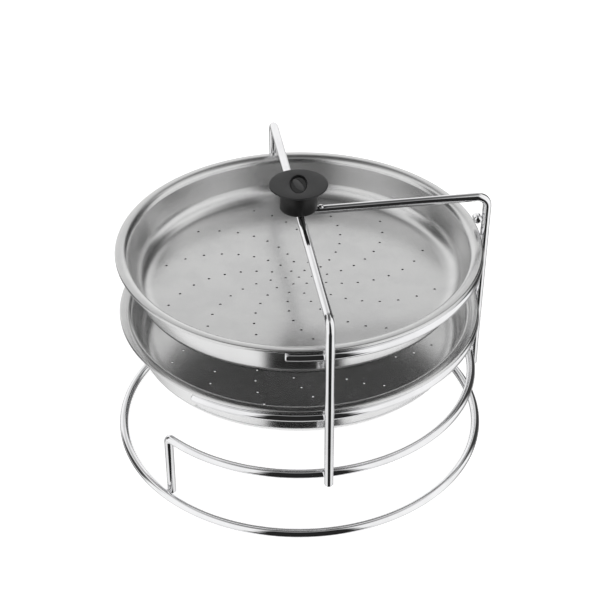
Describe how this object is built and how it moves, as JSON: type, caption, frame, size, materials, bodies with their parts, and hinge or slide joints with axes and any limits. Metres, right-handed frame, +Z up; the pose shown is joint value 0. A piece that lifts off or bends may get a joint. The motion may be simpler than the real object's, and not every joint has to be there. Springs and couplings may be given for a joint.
{
  "type": "steaming rack with two pans",
  "caption": "Round bent-wire rack with a black lifting knob, holding two shallow perforated pans on open shelf rings above an empty lower shelf and a base ring.",
  "frame": {"origin": "centre of the base ring, on the surface the rack stands on", "axes": "+Z up, -X is the open side where the pans go in, the bar over the pans runs along Y"},
  "size_m": [0.2343, 0.2328, 0.174],
  "materials": {
    "steel_wire": "polished bright wire",
    "steel_sheet": "satin inside, polished outside",
    "knob_plastic": "fine matt moulded",
    "badge_plastic": "glossy",
    "thread_brass": "turned"
  },
  "bodies": {
    "rack": {"base_ring": "steel_wire", "low_shelf_ring": "steel_wire", "middle_shelf_ring": "steel_wire", "top_shelf_ring": "steel_wire", "cross_bail": "steel_wire", "side_bail": "steel_wire", "stop_peg": "steel_wire", "knob_stud": "steel_wire", "knob_insert": "thread_brass", "knob": "knob_plastic", "knob_badge": "badge_plastic"},
    "top_pan": {"top_pan": "steel_sheet"},
    "lower_pan": {"lower_pan": "steel_sheet"}
  },
  "joints": [
    {"name": "top_pan_slide", "type": "slide", "parent": "rack", "child": "top_pan", "axis": [-1, 0, 0], "range_m": [0, 0.235]},
    {"name": "lower_pan_lift", "type": "slide", "parent": "rack", "child": "lower_pan", "axis": [0, 0, 1], "range_m": [0, 0.025]}
  ]
}
